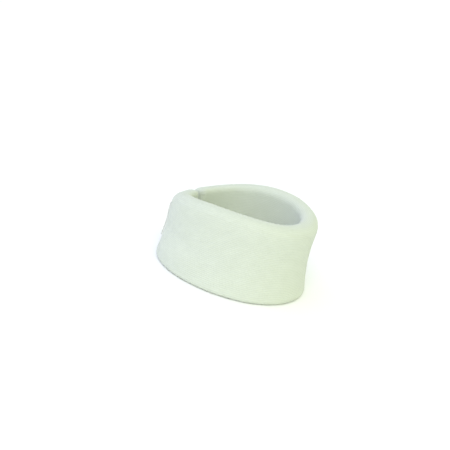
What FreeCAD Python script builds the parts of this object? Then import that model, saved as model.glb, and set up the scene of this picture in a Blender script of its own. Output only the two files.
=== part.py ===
import FreeCAD
import Part
import math
import os

# Soft foam cervical collar, closed as it is worn.
#
# A contoured strip of polyurethane foam inside a tube of knitted stockinette is wrapped into an
# oval ring. Its two ends meet behind the neck with a small gap, which a hook strap sewn to the
# right end bridges to a loop strip sewn to the left end.
#
# Frame, in millimetres: +Z up, the bottom edge at z = 0, the wearer's chin at -Y, the closure at
# +Y and the wearer's left at +X. "Heading" is the direction in which the outer face looks, in
# degrees from the chin (0) over the wearer's right (90) to the closure (180); headings past 180
# run on over the wearer's left.
#
# The foam and its cover bend all along the strip. Here the strip is cut into seven rigid lengths
# joined by upright hinge lines at its outer face, so that the inner face opens as it unrolls.

V = FreeCAD.Vector
UP = V(0, 0, 1)
DOWN = V(0, 0, -1)

# --- driving dimensions ---------------------------------------------------------------------
FRONT_R = 66.0          # outer face: radius of the arc round the chin
FRONT_HEADING = 55.0    # where the chin arc ends
SIDE_R = 94.0           # radius along the jaw
SIDE_HEADING = 104.0    # where the jaw arc ends
THICKNESS = 20.0        # foam and cover together
COVER = 1.0             # stockinette
FIT_GAP = 0.05          # foam to cover

TALLEST = 85.0          # height beside the jaw
TALLEST_Y = -25.0       # where the top edge is highest
TOP_R = 250.0           # the top edge falls along this arc to the chin and to the closure
FLARE = 5.5             # how far the bottom edge stands out on the shoulders
FLARE_Z = 42.0          # the wall is upright above this height
TOP_RIM = 6.5           # rounding of the top edges, under the jaw
BOTTOM_RIM = 4.5        # rounding of the bottom edges
END_ROUND = 5.0         # rounding of the strip's two ends

HINGE_HEADINGS = (45.0, 90.0, 135.0)
HINGE_GAP = 0.4         # between two lengths of the strip
CLOSURE_GAP = 8.0       # between the strip's ends

STRAP_Z = (14.0, 52.0)  # hook strap, 38 mm tape
LOOP_Z = (12.0, 54.0)   # loop strip
LOOP_LENGTH = 46.0
LOOP_START = 3.0        # from the left end to the loop strip
ANCHOR_LENGTH = 31.0    # sewn part of the strap
TAIL_LENGTH = 38.0      # free part of the strap, up to the pull tab
TAB_LENGTH = 15.0
TAPE = 1.0              # tape thickness
STRAP_OUT = 2.0         # inner side of the tape above the strip's face
LOOP_OUT = (0.05, 0.85)
FOLD_OUT = (0.05, 1.95)
HOOK_OUT = (1.3, 1.98)
STRAP_CUT = 0.15        # half the slit at each fold line of the strap
HEM = 6.0               # folded hem of the pull tab

STITCH = (2.4, 0.55, 0.25)  # length, width and height of one visible stitch
STITCH_PITCH = 4.0
STITCH_INSET = 2.5
STITCH_LIFT = 0.02

SEAM_WIDTH = 4.0        # ridge where the cover is sewn shut
SEAM_PROUD = 1.3
SEAM_Z = (7.0, 53.0)

# --- worked out from them -------------------------------------------------------------------
FLARE_R = (FLARE_Z**2 + FLARE**2) / (2 * FLARE)


def outward(heading):
    """Unit vector in which the outer face looks."""
    a = math.radians(heading)
    return V(-math.sin(a), -math.cos(a), 0)


def onward(heading):
    """Unit vector along the strip, towards a larger heading."""
    a = math.radians(heading)
    return V(-math.cos(a), math.sin(a), 0)


# The closure's radius is the one that brings the outline back to the middle plane.
_sin_front = math.sin(math.radians(FRONT_HEADING))
_sin_side = math.sin(math.radians(SIDE_HEADING))
REAR_R = (FRONT_R * _sin_front + SIDE_R * (_sin_side - _sin_front)) / _sin_side


def outline():
    """The outer face in plan: (centre, radius, first heading, last heading) of each arc."""
    front = V(0, 0, 0)
    side = front + outward(FRONT_HEADING) * (FRONT_R - SIDE_R)
    rear = side + outward(SIDE_HEADING) * (SIDE_R - REAR_R)
    middle = (rear.y + REAR_R - FRONT_R) / 2
    shift = V(0, -middle, 0)
    return [
        (front + shift, FRONT_R, -FRONT_HEADING, FRONT_HEADING),
        (side + shift, SIDE_R, FRONT_HEADING, SIDE_HEADING),
        (V(0, rear.y, 0) + shift, REAR_R, SIDE_HEADING, 360.0 - SIDE_HEADING),
    ]


ARCS = outline()
REAR_CENTRE = ARCS[2][0]


def arc_at(heading):
    return next(a for a in ARCS if a[2] <= heading <= a[3])


def turn(length, radius):
    """Angle in degrees that an arc of that length spans."""
    return math.degrees(length / radius)


END_HEADING = 180.0 - turn(CLOSURE_GAP / 2, REAR_R)


def face_out(out, z):
    """Distance from the upright face of the surface that lies `out` above the strip's face."""
    if z >= FLARE_Z:
        return out
    return FLARE_R - math.sqrt((FLARE_R - out) ** 2 - (FLARE_Z - z) ** 2)


def lean(out, z):
    """Angle by which that surface looks upwards, in degrees."""
    if z >= FLARE_Z:
        return 0.0
    return math.degrees(math.asin((FLARE_Z - z) / (FLARE_R - out)))


def band_profile(heading, out_in, out_out, z_low, z_high):
    """Upright section of a band that follows the flared face, as a face at that heading."""
    centre, radius, _, _ = arc_at(heading)
    normal = outward(heading)

    def at(d, z):
        return centre + normal * (radius + d) + UP * z

    def side(out):
        """Edges of one long side, from the bottom up."""
        low = at(face_out(out, z_low), z_low)
        high = at(face_out(out, z_high), z_high)
        if z_high <= FLARE_Z:
            middle_z = (z_low + z_high) / 2
            return [Part.Arc(low, at(face_out(out, middle_z), middle_z), high).toShape()]
        if z_low >= FLARE_Z:
            return [Part.LineSegment(low, high).toShape()]
        middle_z = (z_low + FLARE_Z) / 2
        waist = at(out, FLARE_Z)
        return [
            Part.Arc(low, at(face_out(out, middle_z), middle_z), waist).toShape(),
            Part.LineSegment(waist, high).toShape(),
        ]

    inner, outer = side(out_in), side(out_out)
    bottom = Part.LineSegment(
        at(face_out(out_in, z_low), z_low), at(face_out(out_out, z_low), z_low)
    ).toShape()
    top = Part.LineSegment(
        at(face_out(out_in, z_high), z_high), at(face_out(out_out, z_high), z_high)
    ).toShape()
    wire = Part.Wire(Part.__sortEdges__([*inner, top, *outer, bottom]))
    return Part.Face(wire)


def band(first, last, out_in, out_out, z_low, z_high):
    """Solid band that follows the strip's face from one heading to the next."""
    solid = None
    for centre, _, arc_first, arc_last in ARCS:
        low, high = max(first, arc_first), min(last, arc_last)
        if high - low < 1e-6:
            continue
        start = (low + high) / 2  # the section is drawn mid-arc, where its arc is certain
        profile = band_profile(start, out_in, out_out, z_low, z_high)
        profile.rotate(centre, DOWN, low - start)
        piece = profile.revolve(centre, DOWN, high - low)
        solid = piece if solid is None else solid.fuse(piece)
    return solid.removeSplitter()


def runs_along(edge):
    """True for an edge that runs along the strip."""
    middle = (edge.FirstParameter + edge.LastParameter) / 2
    tangent = edge.tangentAt(middle)
    point = edge.valueAt(middle)
    radial = V(point.x, point.y, 0)
    radial.normalize()
    return abs(tangent.z) < 0.5 and abs(tangent.dot(radial)) < 0.5


def stands_at_end(edge, heading):
    """True for an upright edge of the strip's end face at that heading."""
    middle = (edge.FirstParameter + edge.LastParameter) / 2
    point = edge.valueAt(middle) - REAR_CENTRE
    return (
        abs(edge.tangentAt(middle).z) > 0.9
        and abs(point.dot(onward(heading))) < 0.01
        and point.dot(outward(heading)) > 0
    )


def strip_length(first, last, inset, closed_end=False):
    """One length of the strip, drawn `inset` inside its outer skin."""
    block = band(first, last, inset - THICKNESS, -inset, inset, TALLEST + 1.0)
    roof = Part.makeCylinder(
        TOP_R - inset, 400, V(-200, TALLEST_Y, TALLEST - TOP_R), V(1, 0, 0)
    )
    solid = block.common(roof)
    for radius, low, high in ((TOP_RIM, TALLEST / 2, TALLEST + 1.0), (BOTTOM_RIM, -1.0, TALLEST / 2)):
        rims = [e for e in solid.Edges if runs_along(e) and low < e.CenterOfMass.z < high]
        solid = solid.makeFillet(radius - inset, rims)
    if closed_end:
        uprights = [e for e in solid.Edges if stands_at_end(e, last)]
        solid = rounded_end(solid, uprights, END_ROUND - inset)
    return solid


def rounded_end(solid, uprights, radius):
    """The same solid with its end's upright edges rounded, where the kernel can do it."""
    try:
        rounded = solid.makeFillet(radius, uprights)
    except Part.OCCError:
        return solid
    return rounded if rounded.isValid() and rounded.Volume > 0 else solid


def mirrored(shape):
    """The wearer's left, from the wearer's right."""
    return shape.mirror(V(0, 0, 0), V(1, 0, 0))


def export(shape, name):
    shape.exportStep(f"parts/{name}.step")
    print(f"{name}: {len(shape.Solids)} solid(s), {shape.Volume / 1000:.2f} cm3, valid {shape.isValid()}")


# --- the strip: foam and cover ----------------------------------------------------------------
def cover_and_foam(first, last, closed_end):
    """Cover tube and foam filling of one length of the strip."""
    outer = strip_length(first, last, 0.0, closed_end)
    if closed_end:
        radius = arc_at(last)[1]
        room = strip_length(first - 1.0, last - turn(COVER, radius), COVER, True)
        foam_last = last - turn(COVER + FIT_GAP, radius)
    else:
        room = strip_length(first - 1.0, last + 1.0, COVER)
        foam_last = last
    foam = strip_length(first, foam_last, COVER + FIT_GAP, closed_end)
    return outer.cut(room), foam


def make_strip():
    half_gap = turn(HINGE_GAP / 2, FRONT_R)
    lengths = {
        "front": (-HINGE_HEADINGS[0] + half_gap, HINGE_HEADINGS[0] - half_gap, False),
        "jaw": (HINGE_HEADINGS[0] + half_gap, HINGE_HEADINGS[1] - half_gap, False),
        "side": (HINGE_HEADINGS[1] + half_gap, HINGE_HEADINGS[2] - half_gap, False),
        "end": (HINGE_HEADINGS[2] + half_gap, END_HEADING, True),
    }
    for name, (first, last, closed_end) in lengths.items():
        cover, foam = front_pair(last) if name == "front" else cover_and_foam(first, last, closed_end)
        if name == "front":
            export(cover, "cover_front")
            export(foam, "foam_front")
            continue
        for part, shape in (("cover", cover), ("foam", foam)):
            export(shape, f"{part}_right_{name}")
            export(mirrored(shape), f"{part}_left_{name}")


def front_pair(last):
    """Cover and foam under the chin, which lie on one arc."""
    outer = strip_length(-last, last, 0.0)
    room = strip_length(-last - 1.0, last + 1.0, COVER)
    return outer.cut(room), strip_length(-last, last, COVER + FIT_GAP)


# --- seams that close the cover's ends --------------------------------------------------------
def make_end_seams():
    middle = -THICKNESS / 2
    ridge = band(
        END_HEADING + 0.02,
        END_HEADING + turn(SEAM_PROUD, REAR_R + middle),
        middle - SEAM_WIDTH / 2,
        middle + SEAM_WIDTH / 2,
        *SEAM_Z,
    )
    export(ridge, "right_end_seam")
    export(mirrored(ridge), "left_end_seam")
    top = END_HEADING + turn(SEAM_PROUD + STITCH_LIFT, REAR_R + middle)
    length, width, height = STITCH
    stitches = []
    z = SEAM_Z[0] + STITCH_INSET
    while z < SEAM_Z[1] - STITCH_INSET:
        centre = REAR_CENTRE + outward(top) * (REAR_R + face_out(middle, z)) + UP * z
        box = Part.makeBox(width, height, length, V(-width / 2, 0, -length / 2))
        stitches.append(placed(box, centre, outward(top) * -1, onward(top), UP))
        z += STITCH_PITCH
    thread = Part.makeCompound(stitches)
    export(thread, "right_end_seam_stitches")
    export(mirrored(thread), "left_end_seam_stitches")


# --- stitches ---------------------------------------------------------------------------------
def placed(shape, origin, x_axis, y_axis, z_axis):
    """The shape carried from the world's axes to these."""
    matrix = FreeCAD.Matrix(
        x_axis.x, y_axis.x, z_axis.x, origin.x,
        x_axis.y, y_axis.y, z_axis.y, origin.y,
        x_axis.z, y_axis.z, z_axis.z, origin.z,
        0, 0, 0, 1,
    )
    copy = shape.copy()
    copy.Placement = FreeCAD.Placement(matrix)
    return copy


def stitch(heading, out, z, slope):
    """One stitch on a sewn tape; slope is its angle above the strip's own direction."""
    length, width, height = STITCH
    normal = outward(heading)
    tilt = math.radians(lean(out, z))
    face_normal = normal * math.cos(tilt) + UP * math.sin(tilt)
    face_up = UP * math.cos(tilt) - normal * math.sin(tilt)
    run = onward(heading) * math.cos(math.radians(slope)) + face_up * math.sin(math.radians(slope))
    across = face_normal.cross(run)
    origin = REAR_CENTRE + normal * (REAR_R + face_out(out + STITCH_LIFT, z)) + UP * z
    box = Part.makeBox(length, width, height, V(-length / 2, -width / 2, 0))
    return placed(box, origin, run, across, face_normal)


def stitch_line(start, end, out):
    """Stitches between two (distance along the face from heading 180, height) points."""
    run, rise = end[0] - start[0], end[1] - start[1]
    count = max(1, round(math.hypot(run, rise) / STITCH_PITCH))
    slope = math.degrees(math.atan2(rise, run))
    made = []
    for k in range(count):
        share = (k + 0.5) / count
        heading = 180 + turn(start[0] + run * share, REAR_R + out)
        made.append(stitch(heading, out, start[1] + rise * share, slope))
    return made


def stitch_frame(low, high, z_low, z_high, out, crossed=False):
    """A sewn rectangle, with a cross in it if asked."""
    corners = [(low, z_low), (high, z_low), (high, z_high), (low, z_high)]
    made = []
    for k, corner in enumerate(corners):
        made += stitch_line(corner, corners[(k + 1) % 4], out)
    if crossed:
        margin = STITCH_PITCH
        for z0, z1 in ((z_low + margin, z_high - margin), (z_high - margin, z_low + margin)):
            diagonal = stitch_line((low + margin, z0), (high - margin, z1), out)
            middle = len(diagonal) // 2
            made += diagonal if z0 < z1 else diagonal[:middle - 1] + diagonal[middle + 2:]
    return Part.makeCompound(made)


# --- closure ----------------------------------------------------------------------------------
def along(distance, out):
    """Heading at that distance along the face from the middle of the closure gap."""
    return 180 + turn(distance, REAR_R + out)


def tape(low, high, outs, z_range):
    """A piece of tape between two distances along the face."""
    return band(along(low, outs[1]), along(high, outs[1]), outs[0], outs[1], *z_range)


def make_closure():
    half_gap = CLOSURE_GAP / 2
    tape_outs = (STRAP_OUT, STRAP_OUT + TAPE)
    top = tape_outs[1]

    loop_low = half_gap + LOOP_START
    loop_high = loop_low + LOOP_LENGTH
    export(tape(loop_low, loop_high, LOOP_OUT, LOOP_Z), "loop_strip")
    export(
        stitch_frame(
            loop_low + STITCH_INSET, loop_high - STITCH_INSET,
            LOOP_Z[0] + STITCH_INSET, LOOP_Z[1] - STITCH_INSET, LOOP_OUT[1],
        ),
        "loop_strip_stitches",
    )

    fold = -half_gap
    anchor_low = fold - ANCHOR_LENGTH
    anchor_high = fold - STRAP_CUT
    export(tape(anchor_low, anchor_high, tape_outs, STRAP_Z), "hook_strap_anchor")
    export(tape(anchor_low, anchor_high - 0.5, FOLD_OUT, STRAP_Z), "hook_strap_folded_end")
    export(
        stitch_frame(
            anchor_low + STITCH_INSET, anchor_high - 2 * STITCH_INSET,
            STRAP_Z[0] + STITCH_INSET, STRAP_Z[1] - STITCH_INSET, top, crossed=True,
        ),
        "hook_strap_anchor_stitches",
    )

    tab_fold = fold + TAIL_LENGTH
    export(tape(fold + STRAP_CUT, tab_fold - STRAP_CUT, tape_outs, STRAP_Z), "hook_strap_tail")
    export(
        tape(half_gap + LOOP_START, tab_fold - 1.0, HOOK_OUT, (STRAP_Z[0] + 1, STRAP_Z[1] - 1)),
        "hook_field",
    )
    tab_end = tab_fold + TAB_LENGTH
    export(tape(tab_fold + STRAP_CUT, tab_end, tape_outs, STRAP_Z), "pull_tab")
    export(
        tape(tab_end - HEM, tab_end, (STRAP_OUT - TAPE / 2 - 0.02, STRAP_OUT - 0.02), STRAP_Z),
        "pull_tab_hem",
    )
    hem_line = tab_end - HEM + 1.2
    export(
        Part.makeCompound(
            stitch_line((hem_line, STRAP_Z[0] + 2), (hem_line, STRAP_Z[1] - 2), top)
        ),
        "pull_tab_stitches",
    )


def hinge_line(heading):
    """Plan position of a hinge line on the flared outer face."""
    centre, radius, _, _ = arc_at(heading)
    return centre + outward(heading) * (radius + FLARE)


def fold_line(distance):
    """Plan position of a fold, upright outside the strap's most flared edge."""
    out = STRAP_OUT + TAPE
    return REAR_CENTRE + outward(along(distance, out)) * (REAR_R + face_out(out, STRAP_Z[0]))


def main():
    os.makedirs("parts", exist_ok=True)
    make_strip()
    make_end_seams()
    make_closure()
    for heading in HINGE_HEADINGS:
        p = hinge_line(heading)
        print(f"hinge line at heading {heading}: x {p.x:.3f}, y {p.y:.3f}")
    for name, distance in (("strap fold", -CLOSURE_GAP / 2), ("tab fold", TAIL_LENGTH - CLOSURE_GAP / 2)):
        p = fold_line(distance)
        print(f"{name}: x {p.x:.3f}, y {p.y:.3f}")


main()
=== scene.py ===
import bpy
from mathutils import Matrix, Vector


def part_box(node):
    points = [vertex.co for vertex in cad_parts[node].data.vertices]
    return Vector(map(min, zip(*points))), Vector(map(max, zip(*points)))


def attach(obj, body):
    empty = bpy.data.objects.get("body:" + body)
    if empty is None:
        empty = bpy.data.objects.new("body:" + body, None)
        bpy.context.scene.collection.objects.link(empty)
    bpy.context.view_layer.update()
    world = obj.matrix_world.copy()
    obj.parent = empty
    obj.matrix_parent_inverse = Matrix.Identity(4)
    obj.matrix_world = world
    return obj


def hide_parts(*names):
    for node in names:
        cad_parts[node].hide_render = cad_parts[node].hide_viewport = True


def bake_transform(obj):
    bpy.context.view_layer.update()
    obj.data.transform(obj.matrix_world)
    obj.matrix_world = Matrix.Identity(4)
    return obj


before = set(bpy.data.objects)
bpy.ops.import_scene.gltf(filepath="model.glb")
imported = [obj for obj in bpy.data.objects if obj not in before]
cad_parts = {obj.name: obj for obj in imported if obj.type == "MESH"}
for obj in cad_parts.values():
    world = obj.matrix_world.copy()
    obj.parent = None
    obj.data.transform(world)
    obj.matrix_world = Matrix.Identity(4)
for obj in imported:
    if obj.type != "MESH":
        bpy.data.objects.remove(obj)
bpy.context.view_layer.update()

import math

import bpy
import numpy as np
from mathutils import Matrix, Vector, noise

# --- the strip's outline, as the CAD has it, in metres --------------------------------------
FRONT_R, FRONT_HEADING = 0.066, 55.0
SIDE_R, SIDE_HEADING = 0.094, 104.0
THICKNESS = 0.020
FLARE, FLARE_Z = 0.0055, 0.042
FLARE_R = (FLARE_Z**2 + FLARE**2) / (2 * FLARE)
TALLEST, TALLEST_Y, TOP_R = 0.085, -0.025, 0.250
CLOSURE_GAP = 0.008


def sine(degrees):
    return math.sin(math.radians(degrees))


def cosine(degrees):
    return math.cos(math.radians(degrees))


def outline():
    """Centre, radius and first heading of the chin, side and closure arcs on the wearer's right."""
    rear_r = FRONT_R * sine(FRONT_HEADING) + SIDE_R * (sine(SIDE_HEADING) - sine(FRONT_HEADING))
    rear_r /= sine(SIDE_HEADING)
    side_off, rear_off = FRONT_R - SIDE_R, SIDE_R - rear_r
    side = (-sine(FRONT_HEADING) * side_off, -cosine(FRONT_HEADING) * side_off)
    rear = (0.0, side[1] - cosine(SIDE_HEADING) * rear_off)
    shift = (rear[1] + rear_r - FRONT_R) / 2
    return [
        (0.0, -shift, FRONT_R, 0.0),
        (side[0], side[1] - shift, SIDE_R, FRONT_HEADING),
        (0.0, rear[1] - shift, rear_r, SIDE_HEADING),
    ]


ARCS = outline()
REAR_X, REAR_Y, REAR_R, _ = ARCS[2]
END_HEADING = 180.0 - math.degrees(CLOSURE_GAP / 2 / REAR_R)


def arc_of(heading):
    """The arc that a heading, in degrees from the chin over the wearer's right, lies on."""
    return ARCS[sum(abs(heading) >= a[3] for a in ARCS[1:])]


def length_to(heading):
    """Length of the outer face from the chin, negative on the wearer's left."""
    done, size = 0.0, abs(heading)
    for k, (_, _, radius, first) in enumerate(ARCS):
        last = ARCS[k + 1][3] if k < 2 else 360.0
        done += radius * math.radians(max(0.0, min(size, last) - first))
    return math.copysign(done, heading)


def place(heading, out, z):
    """Points `out` outside the outer face's upright part. A negative heading is the wearer's left,
    and one past 180 runs on round the closure."""
    if heading < 0:
        side, size = -1.0, -heading
    else:
        side, size = 1.0, heading
    cx, cy, radius, _ = arc_of(size)
    out, z = np.asarray(out, float), np.asarray(z, float)
    x = side * (cx - (radius + out) * sine(size))
    y = cy - (radius + out) * cosine(size)
    return np.stack(np.broadcast_arrays(x, y, z), -1)


def flared(out, z):
    """`out` as carried outwards by the flare at the bottom edge."""
    out, z = np.asarray(out, float), np.asarray(z, float)
    drop = np.clip(FLARE_Z - z, 0, None)
    return np.where(drop > 0, FLARE_R - np.sqrt((FLARE_R - out) ** 2 - drop**2), out)


def roof(y):
    """Height of the top edge."""
    return TALLEST - TOP_R + math.sqrt(TOP_R**2 - (y - TALLEST_Y) ** 2)


def ramp(x, low, high):
    """0 below `low`, 1 above `high` and smooth between them."""
    t = np.clip((np.asarray(x, float) - low) / (high - low), 0, 1)
    return t * t * (3 - 2 * t)


# --- the strip's section ------------------------------------------------------------------
N_BOTTOM, N_CORNER, N_WALL, N_CROWN = 4, 5, 26, 22
BOTTOM_RIM = 0.0045
CROWN = 0.0095          # the top edge is a soft crown this high
CROWN_POWER = 2.35
RIM_SHRINK, CROWN_SHRINK = 0.8, 0.7     # how far the rounding follows an inset


def section(heading, inset=0.0):
    """The strip's section as (out, z) points from the middle of the bottom, up the outer face,
    over the top and down the inner face. The outer and inner halves mirror each other."""
    top = [
        roof(place(heading, out, 0.0)[1]) - inset for out in (-inset, inset - THICKNESS)
    ]
    half = THICKNESS / 2 - inset
    rim, crown = BOTTOM_RIM - inset * RIM_SHRINK, CROWN - inset * CROWN_SHRINK
    middle = (top[0] + top[1]) / 2
    halves = []
    for side, height in ((1, top[0]), (-1, top[1])):
        q = list(np.linspace(0, half - rim, N_BOTTOM + 1)[:-1])
        z = [inset] * N_BOTTOM
        for a in np.radians(np.linspace(-90, 0, N_CORNER)):
            q.append(half - rim + rim * math.cos(a))
            z.append(inset + rim + rim * math.sin(a))
        for share in np.linspace(0, 1, N_WALL + 2)[1:-1]:
            q.append(half)
            z.append(inset + rim + (height - crown - inset - rim) * share)
        for a in np.radians(np.linspace(0, 90, N_CROWN // 2 + 1)):
            c, s = math.cos(a), math.sin(a)
            q.append(half * c ** (2 / CROWN_POWER) if c > 1e-9 else 0.0)
            level = height * c + middle * (1 - c)
            z.append(level - crown + crown * s ** (2 / CROWN_POWER))
        halves.append((side * np.array(q) - THICKNESS / 2, np.array(z)))
    (out_a, z_a), (out_b, z_b) = halves
    return np.concatenate([out_a, out_b[-2:0:-1]]), np.concatenate([z_a, z_b[-2:0:-1]])


# The worn foam's bands, each as how far it stands proud, its level and its spread.
BULGE_RIGHT, BULGE_LEFT = (0.0024, 0.017, 0.011), (0.0016, 0.017, 0.011)
HOLLOW = (-0.0009, 0.036, 0.007)
WAIST = (-0.0007, 0.047, 0.020)
LIP = (0.0006, 0.070, 0.009)
BULGE_FROM, BULGE_TO = (78, 104), (126, 149)    # headings over which the bulge grows and fades
FREE_TO = (128, 146)                            # and those where the sewn closure takes over
INNER_RIPPLE, INNER_WAVES = 0.0006, 60


def band(z, proud, level, spread):
    return proud * np.exp(-(((z - level) / spread) ** 2))


def worn(heading, out, z):
    """How far the worn foam stands proud of the CAD's plain face, by place."""
    size = abs(heading)
    face = ramp(out, -THICKNESS / 2, 0.0)
    proud, level, spread = BULGE_RIGHT if heading > 0 else BULGE_LEFT
    behind = ramp(size, *BULGE_FROM) * (1 - ramp(size, *BULGE_TO))
    rear = band(z, proud * behind, level, spread)
    rear = rear + band(z, HOLLOW[0] * behind, *HOLLOW[1:])
    free = 1 - ramp(size, *FREE_TO)
    outside = rear + band(z, *WAIST) * free + band(z, *LIP) * free
    return face * outside - (1 - face) * INNER_RIPPLE * np.sin(z * INNER_WAVES) * free


# --- rings along the strip ------------------------------------------------------------------
CAP_DEPTH = 0.0075      # the strip's end is drawn in over this length
CAP_RINGS = 9
CAP_TURN = 0.94         # of a quarter turn
PLEAT, PLEAT_PITCH, PLEAT_START = 0.05, 2.05, 0.4   # small pleats where the cover is gathered
RING_PITCH = 0.0027
SPLITS = (67.5, 110.0)  # where the visible pieces meet, between the bends
SEAM_LOW, SEAM_INSET = 0.007, 0.0085
CAP_HEADING = END_HEADING - math.degrees(CAP_DEPTH / REAR_R)


def strip_headings():
    """Headings of the rings from the right end's cap to the left end's, split rings included."""
    marks = [0.0, *SPLITS, CAP_HEADING]
    half = [0.0]
    for low, high in zip(marks, marks[1:]):
        count = max(2, round((length_to(high) - length_to(low)) / RING_PITCH))
        half += list(np.linspace(low, high, count + 1)[1:])
    return half[:0:-1] + [-h for h in half]


def gathered(heading, points, share, inset):
    """A section drawn in towards the end seam; share runs from 0 to 1."""
    out, z = points
    size = END_HEADING - math.degrees(inset / REAR_R)
    angle = share * math.pi / 2 * CAP_TURN
    at = CAP_HEADING + (size - CAP_HEADING) * math.sin(angle)
    pull = 1 - math.cos(angle)
    line = np.clip(z, SEAM_LOW, z.max() - SEAM_INSET)
    folds = np.sin(np.arange(len(z)) * PLEAT_PITCH + PLEAT_START)
    pleat = 1 + PLEAT * folds * math.sin(angle * 2)
    new_out = -THICKNESS / 2 + (out + THICKNESS / 2) * (1 - pull) * pleat
    return math.copysign(at, heading), new_out, z + (line - z) * pull


def strip_rings(inset):
    """Every ring of the strip's surface as points, its length along the face, and the headings."""
    headings = strip_headings()
    rings, lengths = [], []

    def add(heading, out, z):
        proud = worn(heading, out, z)
        rings.append(place(heading, flared(out, z) + proud, z))
        lengths.append(length_to(heading))

    def cap(heading, order):
        points = section(heading, inset)
        for k in order:
            add(*gathered(heading, points, k / CAP_RINGS, inset))

    cap(headings[0], range(CAP_RINGS, 0, -1))
    for heading in headings:
        add(heading, *section(heading, inset))
    cap(headings[-1], range(1, CAP_RINGS + 1))
    return np.array(rings), np.array(lengths), headings


NARROWEST = 0.75        # a section shorter than this share of the chin's loses ribs


def perimeter_share(rings):
    """Distance round each ring, scaled so that the knit has as many ribs in every section."""
    step = np.linalg.norm(np.diff(rings, axis=1, append=rings[:, :1]), axis=2)
    run = np.concatenate([np.zeros((len(rings), 1)), np.cumsum(step, axis=1)], axis=1)
    middle = run[len(run) // 2, -1]
    scale = middle / np.maximum(run[:, -1:], middle * NARROWEST)
    return run * scale


def grid_normals(rings):
    """Outward normals of a closed-section grid."""
    along = np.gradient(rings, axis=0)
    across = np.roll(rings, -1, axis=1) - np.roll(rings, 1, axis=1)
    n = np.cross(along, across)
    return n / np.maximum(np.linalg.norm(n, axis=2, keepdims=True), 1e-12)


def ring_direction(rings):
    """Mean direction along the strip at each ring."""
    step = np.gradient(rings, axis=0).mean(axis=1)
    return step / np.linalg.norm(step, axis=1, keepdims=True)


# --- meshes ---------------------------------------------------------------------------------
def make_mesh(name, points, faces, uvs=None, normals=None, material=None):
    """uvs and normals are given per face corner, in the order of the faces."""
    mesh = bpy.data.meshes.new(name)
    mesh.from_pydata([tuple(p) for p in points], [], faces)
    if uvs is not None:
        layer = mesh.uv_layers.new(name="UVMap")
        layer.data.foreach_set("uv", np.asarray(uvs, np.float32).ravel())
    mesh.polygons.foreach_set("use_smooth", [True] * len(mesh.polygons))
    if normals is not None:
        mesh.normals_split_custom_set([tuple(n) for n in normals])
    mesh.validate()
    mesh.update()
    obj = bpy.data.objects.new(name, mesh)
    bpy.context.scene.collection.objects.link(obj)
    if material is not None:
        mesh.materials.append(material)
    return obj


class Builder:
    """Collects grids and caps into one mesh, with a UV and a normal for each face corner."""

    def __init__(self):
        self.points, self.faces, self.uvs, self.normals = [], [], [], []

    def grid(self, rings, uv, normals, flip=False):
        """Closed-section rings; uv has one more column than the rings. Returns first index."""
        base, (rows, cols) = len(self.points), rings.shape[:2]
        self.points.extend(rings.reshape(-1, 3))
        for i in range(rows - 1):
            for j in range(cols):
                k = (j + 1) % cols
                corners = [(i, j, j), (i + 1, j, j), (i + 1, k, j + 1), (i, k, j + 1)]
                if flip:
                    corners.reverse()
                self.faces.append([base + row * cols + col for row, col, _ in corners])
                self.uvs.extend(uv[row, edge] for row, _, edge in corners)
                self.normals.extend(
                    -normals[row, col] if flip else normals[row, col] for row, col, _ in corners
                )
        return base

    def flat(self, indices, normal, flip, uv):
        """One face with the same normal and UV at every corner."""
        self.faces.append(indices[::-1] if flip else indices)
        self.uvs.extend([uv] * len(indices))
        self.normals.extend([normal] * len(indices))

    def zip_cap(self, base, cols, ring, normal, flip, uv):
        """Closes a ring whose halves mirror each other, pairing point j with point -j."""
        index = [base + ring * cols + j for j in range(cols)]
        for j in range(cols // 2):
            quad = [index[j], index[j + 1], index[-j - 1], index[-j % cols]]
            quad = list(dict.fromkeys(quad))
            if len(quad) > 2:
                self.flat(quad, normal, flip, uv)

    def bridge(self, base_a, base_b, cols, ring, normal, flip, uv):
        """Ring-shaped end between an outer and an inner grid."""
        a, b = base_a + ring * cols, base_b + ring * cols
        for j in range(cols):
            k = (j + 1) % cols
            self.flat([a + j, a + k, b + k, b + j], normal, flip, uv)

    def build(self, name, material):
        return make_mesh(name, self.points, self.faces, self.uvs, self.normals, material)


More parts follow.
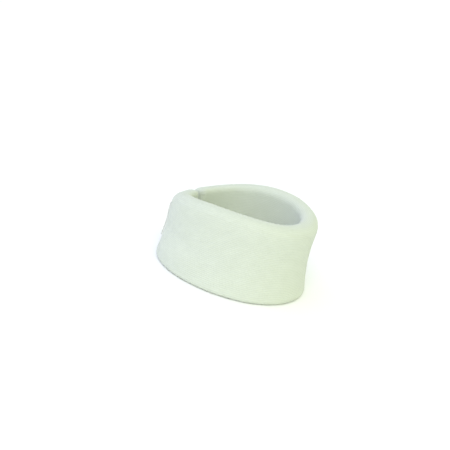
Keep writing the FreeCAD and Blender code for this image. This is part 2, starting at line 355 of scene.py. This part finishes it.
# --- materials ------------------------------------------------------------------------------
class Nodes:
    """A material's node tree, with short calls for the nodes used here."""

    def __init__(self, name, color, roughness):
        self.material = bpy.data.materials.new(name)
        self.material.use_nodes = True
        self.tree = self.material.node_tree
        self.shader = self.tree.nodes["Principled BSDF"]
        self.shader.inputs["Base Color"].default_value = (*color, 1)
        self.shader.inputs["Roughness"].default_value = roughness
        self.shader.inputs["Specular IOR Level"].default_value = 0.25

    def node(self, kind, **settings):
        made = self.tree.nodes.new(kind)
        for key, value in settings.items():
            setattr(made, key, value)
        return made

    def plug(self, socket, value):
        """Sets a socket to a value, or links another node's socket to it."""
        if isinstance(value, (int, float, tuple)):
            socket.default_value = value
        else:
            self.tree.links.new(value, socket)

    def maths(self, operation, *values):
        made = self.node("ShaderNodeMath", operation=operation)
        for socket, value in zip(made.inputs, values):
            self.plug(socket, value)
        return made.outputs[0]

    def uv(self):
        """Metres along and across the piece."""
        split = self.node("ShaderNodeSeparateXYZ")
        self.plug(split.inputs[0], self.node("ShaderNodeUVMap", uv_map="UVMap").outputs[0])
        return split.outputs[0], split.outputs[1]

    def noise(self, scale, detail, roughness):
        made = self.node("ShaderNodeTexNoise")
        self.plug(made.inputs["Vector"], self.node("ShaderNodeTexCoord").outputs["Object"])
        self.plug(made.inputs["Scale"], scale)
        self.plug(made.inputs["Detail"], detail)
        self.plug(made.inputs["Roughness"], roughness)
        return made.outputs["Fac"]

    def shade(self, share, low, high):
        """Base colour between two, by share."""
        made = self.node("ShaderNodeMix", data_type="RGBA")
        self.plug(made.inputs["Factor"], share)
        self.plug(made.inputs["A"], (*low, 1))
        self.plug(made.inputs["B"], (*high, 1))
        self.plug(self.shader.inputs["Base Color"], made.outputs["Result"])

    def bump(self, height, distance, strength):
        made = self.node("ShaderNodeBump")
        self.plug(made.inputs["Height"], height)
        self.plug(made.inputs["Distance"], distance)
        self.plug(made.inputs["Strength"], strength)
        self.plug(self.shader.inputs["Normal"], made.outputs[0])

    def sheen(self, weight, roughness):
        self.shader.inputs["Sheen Weight"].default_value = weight
        self.shader.inputs["Sheen Roughness"].default_value = roughness
        self.shader.inputs["Sheen Tint"].default_value = (1, 1, 1, 1)


RIB_PITCH = 0.0019      # one wale of the knit
LOOP_PITCH = 0.0013     # one course of the knit
LOOP_LEAN = 1.1         # how far each loop's V leans, in courses over a wale
LOOP_RELIEF = 0.22      # how deep the courses cut into the wales
KNIT_DARK, KNIT_PALE = (0.575, 0.625, 0.515), (0.705, 0.755, 0.645)


def knit_material():
    """Stockinette: wales run along the strip, each a column of V-shaped loops."""
    n = Nodes("stockinette", (0.74, 0.80, 0.69), 0.93)
    along, across = n.uv()
    in_wale = n.maths("FRACT", n.maths("DIVIDE", across, RIB_PITCH))
    off = n.maths("ABSOLUTE", n.maths("SUBTRACT", in_wale, 0.5))
    wale = n.maths("COSINE", n.maths("MULTIPLY", off, math.pi))
    courses = n.maths("DIVIDE", along, LOOP_PITCH)
    chevron = n.maths("ADD", courses, n.maths("MULTIPLY", off, LOOP_LEAN))
    loop = n.maths("SINE", n.maths("MULTIPLY", chevron, 2 * math.pi))
    loop = n.maths("MULTIPLY_ADD", loop, LOOP_RELIEF, 1 - LOOP_RELIEF)
    height = n.maths("MULTIPLY", n.maths("POWER", wale, 0.6), loop)
    fuzz = n.noise(1500.0, 4.0, 0.7)
    uneven = n.noise(90.0, 3.0, 0.5)
    height = n.maths("ADD", height, n.maths("MULTIPLY", fuzz, 0.35))
    # The colour is partly uneven tone and partly painted shade: the knit is painted darker where
    # its height is low, in the grooves between wales and courses.
    share = n.maths("MULTIPLY_ADD", uneven, 0.35, n.maths("MULTIPLY", height, 0.62))
    n.shade(share, KNIT_DARK, KNIT_PALE)
    n.bump(height, 0.00045, 0.55)
    n.sheen(0.25, 0.5)
    return n.material


def foam_material():
    """Open-cell foam."""
    n = Nodes("foam", (0.80, 0.76, 0.60), 0.95)
    cells = n.node("ShaderNodeTexVoronoi")
    n.plug(cells.inputs["Vector"], n.node("ShaderNodeTexCoord").outputs["Object"])
    n.plug(cells.inputs["Scale"], 900.0)
    # Painted shade: each cell is painted darker towards its middle, where the bump sinks it into a
    # pit.
    n.shade(cells.outputs["Distance"], (0.66, 0.61, 0.45), (0.84, 0.80, 0.65))
    n.bump(cells.outputs["Distance"], 0.0006, 0.7)
    return n.material


WARP_PITCH, WEFT_PITCH = 0.0011, 0.0011 * 0.8
TAPE_DARK, TAPE_PALE = (0.66, 0.67, 0.62), (0.86, 0.87, 0.82)


def tape_material():
    """Woven tape: a plain weave with a little fuzz."""
    n = Nodes("woven_tape", TAPE_PALE, 0.8)
    along, across = n.uv()
    warp = n.maths("SINE", n.maths("MULTIPLY", along, 2 * math.pi / WARP_PITCH))
    weft = n.maths("SINE", n.maths("MULTIPLY", across, 2 * math.pi / WEFT_PITCH))
    weave = n.maths("MULTIPLY_ADD", n.maths("MULTIPLY", warp, weft), 0.5, 0.5)
    fuzz = n.noise(1200.0, 3.0, 0.6)
    height = n.maths("ADD", weave, n.maths("MULTIPLY", fuzz, 0.4))
    # The colour is painted shade with a little uneven tone: the weave is painted darker where its
    # height is low, between the crossing yarns.
    n.shade(height, TAPE_DARK, TAPE_PALE)
    n.bump(height, 0.00025, 0.6)
    n.sheen(0.15, 0.4)
    return n.material


def pile_material():
    """The loop strip's brushed pile."""
    n = Nodes("loop_pile", (0.82, 0.83, 0.78), 0.96)
    tangle = n.noise(1400.0, 5.0, 0.75)
    clumps = n.noise(420.0, 3.0, 0.6)
    height = n.maths("ADD", tangle, n.maths("MULTIPLY", clumps, 0.7))
    # The colour is partly uneven tone and partly painted shade: the pile is painted darker where
    # its bump height is low, in its hollows.
    n.shade(n.maths("MULTIPLY", height, 0.75), (0.60, 0.62, 0.57), (0.90, 0.91, 0.87))
    n.bump(height, 0.0009, 0.9)
    n.sheen(0.5, 0.6)
    return n.material


def plain_material(name, color, roughness):
    """One colour with a fine, matt surface."""
    n = Nodes(name, color, roughness)
    n.bump(n.noise(2500.0, 2.0, 0.6), 0.0002, 0.5)
    return n.material


KNIT, FOAM, TAPE, PILE = knit_material(), foam_material(), tape_material(), pile_material()
HOOKS = plain_material("moulded_hooks", (0.84, 0.85, 0.80), 0.55)
THREAD = plain_material("thread", (0.80, 0.78, 0.66), 0.7)


# --- the strip's surface, settled as cloth over foam ------------------------------------------
SETTLE_FRAMES = 14
SETTLE_LIMIT = 0.0016
SEWN_RIGHT, SEWN_LEFT = 30.0, 44.0  # degrees from the closure's middle that the sewn parts take
END_HOLD, MORE_HOLD = 0.55, 0.35    # hold at the strip's ends, and how much more along it
HOLD_GROWS = 3                      # over this many times the cap's rings


def hold_weights(headings, columns):
    """How firmly the foam and the sewn tapes hold each point of the cover, from 0 to 1."""
    ring_headings = [headings[0]] * CAP_RINGS + list(headings) + [headings[-1]] * CAP_RINGS
    count = np.arange(len(ring_headings))
    from_end = np.minimum(count, count[::-1]) / CAP_RINGS
    outside = np.arange(columns) < columns // 2
    weights = np.zeros((len(ring_headings), columns))
    for i, heading in enumerate(ring_headings):
        sewn = 180.0 - abs(heading) < (SEWN_RIGHT if heading > 0 else SEWN_LEFT)
        sewn = sewn and from_end[i] > 1
        soft = END_HOLD + MORE_HOLD * min(1.0, max(0.0, from_end[i] - 1) / HOLD_GROWS)
        weights[i] = np.where(outside & sewn, 1.0, soft)
    weights[:2], weights[-2:] = 1.0, 1.0
    return weights


def settle(rings, weights):
    """Lets the cover swell and slacken a little over the foam, held by the weights."""
    build = Builder()
    rows, columns = rings.shape[:2]
    build.grid(rings, np.zeros((rows, columns + 1, 2)), np.zeros_like(rings))
    obj = make_mesh("settling", build.points, build.faces)
    group = obj.vertex_groups.new(name="held")
    for k, w in enumerate(weights.ravel()):
        group.add([k], float(w), "REPLACE")
    cloth = obj.modifiers.new("Cloth", "CLOTH")
    s = cloth.settings
    s.quality = 5
    s.mass = 0.2
    s.tension_stiffness = s.compression_stiffness = 12
    s.shear_stiffness = 6
    s.bending_stiffness = 0.3
    s.vertex_group_mass = "held"
    s.pin_stiffness = 1.0
    s.shrink_min = -0.025
    s.use_pressure = True
    s.uniform_pressure_force = 2.5
    s.effector_weights.gravity = 0
    scene = bpy.context.scene
    scene.frame_start, scene.frame_end = 1, SETTLE_FRAMES
    cloth.point_cache.frame_start, cloth.point_cache.frame_end = 1, SETTLE_FRAMES
    for f in range(1, SETTLE_FRAMES + 1):
        scene.frame_set(f)
    done = obj.evaluated_get(bpy.context.evaluated_depsgraph_get())
    moved = np.zeros(rows * columns * 3)
    done.data.vertices.foreach_get("co", moved)
    mesh = obj.data
    bpy.data.objects.remove(obj)
    bpy.data.meshes.remove(mesh)
    scene.frame_set(1)
    shift = moved.reshape(rings.shape) - rings
    size = np.linalg.norm(shift, axis=2, keepdims=True)
    print("settled: mean", size.mean(), "largest", size.max())
    if not np.isfinite(size).all():
        return rings
    return rings + shift * np.minimum(1.0, SETTLE_LIMIT / np.maximum(size, 1e-9))


DENTS = ((0.00032, 34), (0.00012, 110))     # depth, and how many to a metre


def soft_dents(rings, normals):
    """Hand-made unevenness: shallow, broad dents in the foam."""
    depth = [
        sum(deep * noise.noise(Vector(p) * scale) for deep, scale in DENTS)
        for p in rings.reshape(-1, 3).tolist()
    ]
    return rings + normals * np.array(depth).reshape(*rings.shape[:2], 1)


COVER_WALL = 0.0011
FOAM_INSET = 0.0014


def cover_rings():
    """The cover's outer surface as worn, with each ring's length along the strip and headings."""
    rings, lengths, headings = strip_rings(0.0)
    rings = settle(rings, hold_weights(headings, rings.shape[1]))
    rings = soft_dents(rings, grid_normals(rings))
    rings[..., 2] = np.maximum(rings[..., 2], 0.0)
    return rings, lengths, headings


OUTER_RINGS, LENGTHS, HEADINGS = cover_rings()
INNER_RINGS, FOAM_RINGS = strip_rings(COVER_WALL)[0], strip_rings(FOAM_INSET)[0]
OUTER_NORMALS, INNER_NORMALS = grid_normals(OUTER_RINGS), grid_normals(INNER_RINGS)
FOAM_NORMALS, OUTER_ALONG = grid_normals(FOAM_RINGS), ring_direction(OUTER_RINGS)
SHARES = perimeter_share(OUTER_RINGS)
STRIP_UV = np.stack([np.repeat(LENGTHS[:, None], SHARES.shape[1], 1), SHARES], -1)
LAST_RING = len(LENGTHS) - 1

# Each visible length: the lengths of the CAD before and after its bend, the bend's heading, the
# headings where it starts and ends, and how far before and after the bend it turns.
BENDS = {
    "front": ("front", "jaw", 45.0, (0.0, SPLITS[0]), (0.031, 0.0230)),
    "middle": ("jaw", "side", 90.0, SPLITS, (0.0270, 0.0222)),
    "rear": ("side", "end", 135.0, (SPLITS[1], None), (0.0207, 0.0203)),
}


def ring_of(heading):
    """Index of the ring at a split heading."""
    return CAP_RINGS + int(np.argmin([abs(h - heading) for h in HEADINGS]))


def body_of(side, length):
    return length if length == "front" else f"{side}_{length}"


def bend_piece(obj, side, part):
    """Bakes a piece's placement into its mesh; the bend's tangent is worked out but not used."""
    parent, child, heading, _, reach = BENDS[part]
    tangent = Vector((-cosine(heading), sine(heading), 0))
    if side == "left":
        tangent.x = -tangent.x
    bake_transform(obj)


def strip_piece(side, part):
    """One visible length of the cover and of its foam, from split to split."""
    parent, child, _, (first, last), _ = BENDS[part]
    sign, end_ring = (1, 0) if side == "right" else (-1, LAST_RING)
    near = ring_of(sign * first)
    far = end_ring if last is None else ring_of(sign * last)
    low, high = min(near, far), max(near, far)
    rows, columns = slice(low, high + 1), OUTER_RINGS.shape[1]
    cover, core = Builder(), Builder()
    base_out = cover.grid(OUTER_RINGS[rows], STRIP_UV[rows], OUTER_NORMALS[rows])
    base_in = cover.grid(INNER_RINGS[rows], STRIP_UV[rows], INNER_NORMALS[rows], flip=True)
    base_foam = core.grid(FOAM_RINGS[rows], STRIP_UV[rows], FOAM_NORMALS[rows])
    for index, at_end in ((low, False), (high, True)):
        ring, uv = index - low, STRIP_UV[index, 0]
        normal = OUTER_ALONG[index] * (1 if at_end else -1)
        core.zip_cap(base_foam, columns, ring, normal, at_end, uv)
        if index in (0, LAST_RING):
            cover.zip_cap(base_out, columns, ring, normal, at_end, uv)
            cover.zip_cap(base_in, columns, ring, -normal, not at_end, uv)
        else:
            cover.bridge(base_out, base_in, columns, ring, normal, at_end, uv)
    for build, kind, material in ((cover, "cover", KNIT), (core, "foam", FOAM)):
        obj = build.build(f"{kind}_{side}_{part}_length", material)
        bend_piece(obj, side, part)
        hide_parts(*[f"{kind}_{body_of(side, length)}" for length in (parent, child)])


# --- closure: tapes, pile, hooks --------------------------------------------------------------
# Inner and outer side of each layer, above the strip's face.
LOOP_OUTS, FOLD_OUTS, TAPE_OUTS = (0.0, 0.00085), (0.0, 0.00195), (0.0020, 0.0030)
HOOK_OUTS, BACKING_OUTS, STEM_OUTS = (0.0013, 0.00198), (0.0016, 0.00199), (0.00128, 0.00165)
HEM_OUTS = (0.00148, 0.00198)
STRAP_WAVE = 0.00005    # the strap's slight ripple: its depth, and its turns along and up the strap
WAVE_ALONG, WAVE_START, WAVE_UP, WAVE_SLANT = 0.9, 1.3, 260, 0.35
TAPE_PITCH, TAPE_WALLS = 0.0018, 14     # between rings along a tape, and points up its side
RIM_SHARE, RIM_ANGLE, RIM_POINTS = 0.9, 72, 4
END_SQUEEZE, END_SHARE = 0.45, 0.35     # a tape's cut end thins to this over this much of its depth


def ride_slot(obj, body, slot, *nodes):
    """Hides the CAD nodes that a piece replaces and, when a body is given, parents the piece to it;
    slot, its finish, is not used.
    """
    if nodes:
        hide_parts(*nodes)
    if body is not None:
        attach(obj, body)


def fold_at(obj):
    """Bakes a tape's placement into its mesh."""
    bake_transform(obj)


def span(node, out_low, out_high):
    """First and last angle of a tape round the closure, positive to the wearer's left, and its
    lowest and highest z."""
    low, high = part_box(node)
    widest = REAR_R + float(flared(out_high, low.z))
    narrow = REAR_R + out_low

    def angle(x, grows):
        return math.degrees(math.asin(x / (widest if grows else narrow)))

    return (angle(low.x, low.x < 0), angle(high.x, high.x > 0)), (low.z, high.z)


def tape_section(out_low, out_high, z_low, z_high):
    """Rounded-edge tape section as (out, z), outer and inner halves mirrored."""
    half = (out_high - out_low) / 2
    middle = (out_high + out_low) / 2
    rim = half * RIM_SHARE
    q, z = [0.0], [z_low]
    for a in np.radians(np.linspace(-RIM_ANGLE, 0, RIM_POINTS)):
        q.append(half - rim + rim * math.cos(a))
        z.append(z_low + rim + rim * math.sin(a))
    for share in np.linspace(0, 1, TAPE_WALLS + 2)[1:-1]:
        q.append(half)
        z.append(z_low + rim + (z_high - z_low - 2 * rim) * share)
    for a in np.radians(np.linspace(0, RIM_ANGLE, RIM_POINTS)):
        q.append(half - rim + rim * math.cos(a))
        z.append(z_high - rim + rim * math.sin(a))
    q, z = np.array([*q, 0.0]), np.array([*z, z_high])
    return np.concatenate([middle + q, middle - q[-2:0:-1]]), np.concatenate([z, z[-2:0:-1]])


def tape_piece(name, angles, outs, z_range, material, wave=0.0, cut_ends=(True, True)):
    """A length of tape that follows the strip's face between two angles round the closure."""
    first, last = angles
    count = max(3, round(math.radians(last - first) * REAR_R / TAPE_PITCH))
    end_step = math.degrees((outs[1] - outs[0]) * END_SHARE / REAR_R)
    stations = [(angle, 1.0, wave) for angle in np.linspace(last, first, count + 1)]
    if cut_ends[1]:
        stations[:1] = [(last, END_SQUEEZE, wave), (last - end_step, 1.0, 0.0)]
    if cut_ends[0]:
        stations[-1:] = [(first + end_step, 1.0, 0.0), (first, END_SQUEEZE, wave)]
    out, z = tape_section(*outs, *z_range)
    middle = (outs[0] + outs[1]) / 2
    rows, run = [], []
    for angle, squeeze, swing in stations:
        along = math.sin(angle * WAVE_ALONG + WAVE_START)
        ripple = swing * along * np.sin(z * WAVE_UP + angle * WAVE_SLANT)
        level = middle + (out - middle) * squeeze + ripple
        rows.append(place(180.0 + angle, flared(level, z), z))
        run.append(math.radians(angle) * REAR_R)
    rings = np.array(rows)
    step = np.linalg.norm(np.diff(rings[0], axis=0, append=rings[0][:1]), axis=1)
    share = np.concatenate([[0], np.cumsum(step)])
    uv = np.stack(np.meshgrid(share, run), -1)[..., ::-1]
    build = Builder()
    base = build.grid(rings, uv, grid_normals(rings))
    ahead = ring_direction(rings)
    build.zip_cap(base, rings.shape[1], 0, -ahead[0], False, uv[0, 0])
    build.zip_cap(base, rings.shape[1], len(rings) - 1, ahead[-1], True, uv[-1, 0])
    return build.build(name, material)


def islands(node):
    """Centre and longest and shortest direction of each separate block in a CAD node."""
    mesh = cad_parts[node].data
    points = np.array([v.co for v in mesh.vertices]).reshape(-1, 3)
    parent = list(range(len(points)))

    def root(i):
        while parent[i] != i:
            parent[i] = parent[parent[i]]
            i = parent[i]
        return i

    seen = {}
    for i, p in enumerate(np.round(points, 7).tolist()):
        parent[root(i)] = root(seen.setdefault(tuple(p), i))
    for edge in mesh.edges:
        parent[root(edge.vertices[0])] = root(edge.vertices[1])
    groups = {}
    for i in range(len(points)):
        groups.setdefault(root(i), []).append(i)
    found = []
    for members in groups.values():
        block = np.unique(np.round(points[members], 7), axis=0)
        centre = block.mean(axis=0)
        _, _, axes = np.linalg.svd(block - centre)
        found.append((centre, axes[0], axes[2]))
    return sorted(found, key=lambda block: tuple(np.round(block[0], 5)))


THREAD_HALF, THREAD_R, THREAD_DIP = 0.00125, 0.00036, 0.00022
THREAD_STEPS, THREAD_SIDES = 7, 8
THREAD_END = 0.02       # the least share of the radius, squared, at a stitch's ends
LOOP_LIFT, TAPE_LIFT, SEAM_LIFT = 0.00012, 0.00014, -0.00012     # of a stitch above the CAD's


def thread_piece(node, lift, body):
    """Rounded stitches in place of a CAD node's blocks, each dipping into the cloth at its ends."""
    build = Builder()
    turns = np.linspace(0, -2 * math.pi, THREAD_SIDES, endpoint=False)
    uv = np.zeros((THREAD_STEPS, THREAD_SIDES + 1, 2))
    for centre, run, normal in islands(node):
        if normal @ (centre - np.array([REAR_X, REAR_Y, centre[2]])) < 0:
            normal = -normal
        across = np.cross(normal, run)
        rows = []
        for t in np.linspace(-1, 1, THREAD_STEPS):
            radius = THREAD_R * math.sqrt(max(THREAD_END, 1 - t**4))
            middle = centre + run * t * THREAD_HALF + normal * (lift - THREAD_DIP * t**2)
            rows.append([
                middle + radius * (across * math.cos(a) + normal * math.sin(a)) for a in turns
            ])
        rows = np.array(rows)
        base = build.grid(rows, uv, grid_normals(rows))
        build.zip_cap(base, THREAD_SIDES, 0, -run, False, uv[0, 0])
        build.zip_cap(base, THREAD_SIDES, THREAD_STEPS - 1, run, True, uv[0, 0])
    obj = build.build(node + "_thread", THREAD)
    ride_slot(obj, body, "thread", node)
    return obj


HOOK_PITCH = 0.0019
HOOK_HALF_WIDTH, HOOK_DEPTH = 0.00022, 0.00014
HOOK_BEND, HOOK_REACH, HOOK_LIFT = 0.00018, 0.00046, 0.00010
HOOK_SIDES = 4


def one_hook(points, faces, angle, z, side):
    """A flat stem that bends over to one side, as four square rings."""
    tip, root = STEM_OUTS
    base = len(points)
    stem = ((0.0, root), (0.0, (tip + root) / 2), (HOOK_BEND * side, tip),
            (HOOK_REACH * side, tip + HOOK_LIFT))
    corners = ((-HOOK_HALF_WIDTH, 0), (HOOK_HALF_WIDTH, 0), (HOOK_HALF_WIDTH, HOOK_DEPTH),
               (-HOOK_HALF_WIDTH, HOOK_DEPTH))
    for along, out in stem:
        heading = 180.0 + (angle + math.degrees(along / REAR_R))
        for up, more in corners:
            points.append(place(heading, flared(out + more, z), z + up))
    for k in range(len(stem) - 1):
        for m in range(HOOK_SIDES):
            n = (m + 1) % HOOK_SIDES
            here, there = base + k * HOOK_SIDES, base + (k + 1) * HOOK_SIDES
            quad = [here + m, here + n, there + n, there + m]
            faces.append(quad if side > 0 else quad[::-1])
    for ring, flip in ((0, side > 0), (len(stem) - 1, side < 0)):
        cap = [base + ring * HOOK_SIDES + m for m in range(HOOK_SIDES)]
        faces.append(cap[::-1] if flip else cap)


def hook_rows(angles, z_range):
    """Staggered rows of small hooks on the strap's inner side, all in one mesh."""
    points, faces = [], []
    columns = int(math.radians(angles[1] - angles[0]) * REAR_R / HOOK_PITCH)
    rows = int((z_range[1] - z_range[0]) / HOOK_PITCH)
    for i in range(1, columns):
        for j in range(1, rows):
            angle = angles[0] + (angles[1] - angles[0]) * i / columns
            z = z_range[0] + (z_range[1] - z_range[0]) * (j + 0.5 * (i % 2)) / (rows + 0.5)
            one_hook(points, faces, angle, z, 1 if (i + j) % 2 else -1)
    return make_mesh("hook_field_hooks", points, faces, material=HOOKS)


def loop_strip():
    """The loop strip and its frame of stitches."""
    angles, z_range = span("loop_strip", *LOOP_OUTS)
    loop = tape_piece("loop_strip_pile", angles, LOOP_OUTS, z_range, PILE)
    bend_piece(loop, "left", "rear")
    ride_slot(loop, None, "loop_tape", "loop_strip")
    bend_piece(thread_piece("loop_strip_stitches", LOOP_LIFT, None), "left", "rear")


def hook_strap():
    """The strap as two lengths that meet in the middle of its free part, and its turned-under end.
    """
    (anchor, _), z_range = span("hook_strap_anchor", *TAPE_OUTS)
    (tail_from, tail_to), _ = span("hook_strap_tail", *TAPE_OUTS)
    (_, tab_to), _ = span("pull_tab", *TAPE_OUTS)
    split = (tail_from + tail_to) / 2
    sewn = tape_piece("hook_strap_sewn_length", (anchor, split), TAPE_OUTS, z_range, TAPE,
                      wave=STRAP_WAVE, cut_ends=(True, False))
    fold_at(sewn)
    ride_slot(sewn, None, "hook_tape", "hook_strap_anchor", "hook_strap_tail")
    free = tape_piece("hook_strap_free_length", (split, tab_to), TAPE_OUTS, z_range, TAPE,
                      wave=STRAP_WAVE, cut_ends=(False, True))
    fold_at(free)
    ride_slot(free, None, "hook_tape", "hook_strap_tail", "pull_tab")
    angles, z_range = span("hook_strap_folded_end", *FOLD_OUTS)
    under = tape_piece("hook_strap_turned_under", angles, FOLD_OUTS, z_range, TAPE)
    ride_slot(under, "right_end", "hook_tape", "hook_strap_folded_end")


def hook_field():
    angles, z_range = span("hook_field", *HOOK_OUTS)
    backing = tape_piece("hook_field_backing", angles, BACKING_OUTS, z_range, HOOKS)
    ride_slot(backing, "strap_tail", "hooks", "hook_field")
    ride_slot(hook_rows(angles, z_range), "strap_tail", "hooks")


def pull_tab_hem():
    angles, z_range = span("pull_tab_hem", *HEM_OUTS)
    hem = tape_piece("pull_tab_turned_hem", angles, HEM_OUTS, z_range, TAPE)
    ride_slot(hem, "strap_tab", "hook_tape", "pull_tab_hem")


# --- end seams ----------------------------------------------------------------------------------
SEAM_PROUD, SEAM_ROOT = 0.0014, 0.0006  # the ridge outside the strip's end, and its root inside it
SEAM_RINGS, SEAM_V_STEP = 34, 0.0008
SEAM_SHORT = 0.0008     # the ridge stops this far under the CAD's
SEAM_TAPER = {0: 0.35, 1: 0.8}          # size of the first and second ring from either end
SEAM_RIPPLE, SEAM_RIPPLE_PITCH = 0.10, 2.1
# Across the ridge, and the share of its height: two turned edges with a groove between them.
SEAM_PROFILE = [(-0.0011, 0.0), (-0.0013, 0.55), (-0.0011, 0.95), (-0.0005, 1.0), (0.0, 0.82),
                (0.0005, 1.0), (0.0011, 0.95), (0.0013, 0.55), (0.0011, 0.0), (0.0, -0.1)]


def end_seam(side):
    """The ridge where the cover's end is sewn shut: two turned edges pressed together."""
    low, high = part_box(f"{side}_end_seam")
    sign = 1 if side == "right" else -1
    start = END_HEADING - math.degrees(SEAM_ROOT / REAR_R)
    z = np.linspace(low.z, high.z - SEAM_SHORT, SEAM_RINGS)
    rings = []
    for k, level in enumerate(z):
        size = SEAM_TAPER.get(min(k, len(z) - 1 - k), 1.0)
        ripple = 1 + SEAM_RIPPLE * math.sin(k * SEAM_RIPPLE_PITCH)
        ring = []
        for off, share in SEAM_PROFILE:
            proud = (SEAM_ROOT + SEAM_PROUD) * share * size * ripple
            heading = start + math.degrees(proud / REAR_R)
            out = -THICKNESS / 2 + off * size * ripple
            ring.append(place(sign * heading, flared(out, level), level))
        rings.append(ring)
    rings = np.array(rings)
    normals = grid_normals(rings)
    if ((rings - rings.mean(axis=1, keepdims=True)) * normals).sum() < 0:
        rings = rings[:, ::-1]
        normals = grid_normals(rings)
    columns = rings.shape[1]
    uv = np.zeros((len(rings), columns + 1, 2))
    uv[..., 0] = z[:, None]
    uv[..., 1] = np.arange(columns + 1)[None] * SEAM_V_STEP
    build = Builder()
    base = build.grid(rings, uv, normals)
    build.zip_cap(base, columns, 0, np.array([0, 0, -1.0]), False, uv[0, 0])
    build.zip_cap(base, columns, len(rings) - 1, np.array([0, 0, 1.0]), True, uv[-1, 0])
    obj = build.build(f"{side}_end_seam_ridge", KNIT)
    ride_slot(obj, f"{side}_end", "cover", f"{side}_end_seam")


# --- floor, light, camera ---------------------------------------------------------------------
FLOOR_SIZE = 200.0      # its far edge stays out of every view from above
FLOOR_Z = -0.0002       # just clear of the bottom edge
WARM_SIDE = (0.53, -0.85, 0.0)
COOL_LIGHT, WARM_LIGHT = (0.91, 0.96, 1.30), (0.77, 0.84, 0.54)
WORLD_STRENGTH = 1.01


def floor():
    bpy.ops.mesh.primitive_plane_add(size=FLOOR_SIZE, location=(0, 0, FLOOR_Z))
    plane = bpy.context.object
    plane.name = "floor"
    plane.data.materials.append(plain_material("floor", (0.96, 0.96, 0.96), 0.9))


def surroundings():
    """Even light all round, cool on one side and warm on the other."""
    world = bpy.data.worlds.new("studio")
    bpy.context.scene.world = world
    world.use_nodes = True
    tree = world.node_tree
    facing = tree.nodes.new("ShaderNodeVectorMath")
    facing.operation = "DOT_PRODUCT"
    tree.links.new(tree.nodes.new("ShaderNodeTexCoord").outputs["Generated"], facing.inputs[0])
    facing.inputs[1].default_value = WARM_SIDE
    share = tree.nodes.new("ShaderNodeMapRange")
    share.inputs["From Min"].default_value = -1.0
    tree.links.new(facing.outputs["Value"], share.inputs["Value"])
    mix = tree.nodes.new("ShaderNodeMix")
    mix.data_type = "RGBA"
    mix.inputs["A"].default_value = (*COOL_LIGHT, 1)
    mix.inputs["B"].default_value = (*WARM_LIGHT, 1)
    tree.links.new(share.outputs["Result"], mix.inputs["Factor"])
    back = tree.nodes["Background"]
    tree.links.new(mix.outputs["Result"], back.inputs["Color"])
    back.inputs["Strength"].default_value = WORLD_STRENGTH


def soft_sun(name, direction, strength, spread, color):
    data = bpy.data.lights.new(name, "SUN")
    data.energy, data.angle, data.color = strength, math.radians(spread), color
    light = bpy.data.objects.new(name, data)
    bpy.context.scene.collection.objects.link(light)
    light.rotation_euler = (-Vector(direction)).to_track_quat("-Z", "Y").to_euler()


CAMERA_AZIMUTH, CAMERA_ELEVATION, CAMERA_ROLL = -58.0, 20.5, 14.8
CAMERA_DISTANCE, LENS = 0.98, 73.8
SHIFT = (-0.0338, 0.0138)
TARGET = (0, 0, 0.045)


def camera():
    data = bpy.data.cameras.new("camera")
    data.lens, data.sensor_width = LENS, 36.0
    data.shift_x, data.shift_y = SHIFT
    data.clip_start = 0.01
    cam = bpy.data.objects.new("camera", data)
    bpy.context.scene.collection.objects.link(cam)
    flat = cosine(CAMERA_ELEVATION)
    away = Vector((
        sine(CAMERA_AZIMUTH) * flat, -cosine(CAMERA_AZIMUTH) * flat, sine(CAMERA_ELEVATION),
    ))
    turn = (-away).to_track_quat("-Z", "Y").to_matrix()
    turn = turn @ Matrix.Rotation(math.radians(CAMERA_ROLL), 3, "Z")
    place_at = Matrix.Translation(Vector(TARGET) + away * CAMERA_DISTANCE)
    cam.matrix_world = place_at @ turn.to_4x4()
    bpy.context.scene.camera = cam


# --- the whole scene ----------------------------------------------------------------------------
for side in ("right", "left"):
    for part in BENDS:
        strip_piece(side, part)
loop_strip()
hook_strap()
hook_field()
pull_tab_hem()
thread_piece("hook_strap_anchor_stitches", TAPE_LIFT, "right_end")
thread_piece("pull_tab_stitches", TAPE_LIFT, "strap_tab")
for side in ("right", "left"):
    end_seam(side)
    thread_piece(f"{side}_end_seam_stitches", SEAM_LIFT, f"{side}_end")

floor()
surroundings()
soft_sun("key", (-0.75, -0.45, 0.95), 1.12, 35, (1.0, 0.965, 0.87))
soft_sun("front", (0.7, -1.0, 0.35), 0.08, 50, (1.0, 0.90, 0.40))
camera()
bpy.context.scene.view_settings.view_transform = "Standard"
